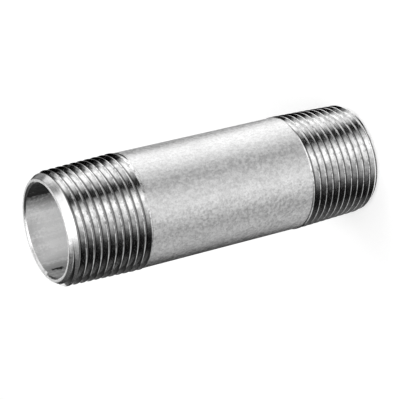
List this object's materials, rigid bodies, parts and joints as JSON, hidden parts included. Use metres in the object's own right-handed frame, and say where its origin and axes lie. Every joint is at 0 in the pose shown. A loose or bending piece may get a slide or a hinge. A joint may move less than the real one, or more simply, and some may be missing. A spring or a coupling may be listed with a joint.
{
  "type": "pipe nipple",
  "caption": "Straight length of steel pipe, open right through, with a right-hand taper thread cut on the outside of each end.",
  "frame": {"origin": "centre of the lower end face, on the pipe's axis, where the nipple stands", "axes": "+Z along the pipe's axis, from the lower end face to the upper one; X and Y are level, with -Y towards the viewer's side"},
  "size_m": [0.0338, 0.0338, 0.1016],
  "materials": {
    "stainless_steel": "bright grey stainless steel: a mottled satin skin on the barrel and in the bore, clean cut metal on the threads and ends"
  },
  "bodies": {
    "root": {"pipe_nipple": "stainless_steel"}
  },
  "joints": []
}
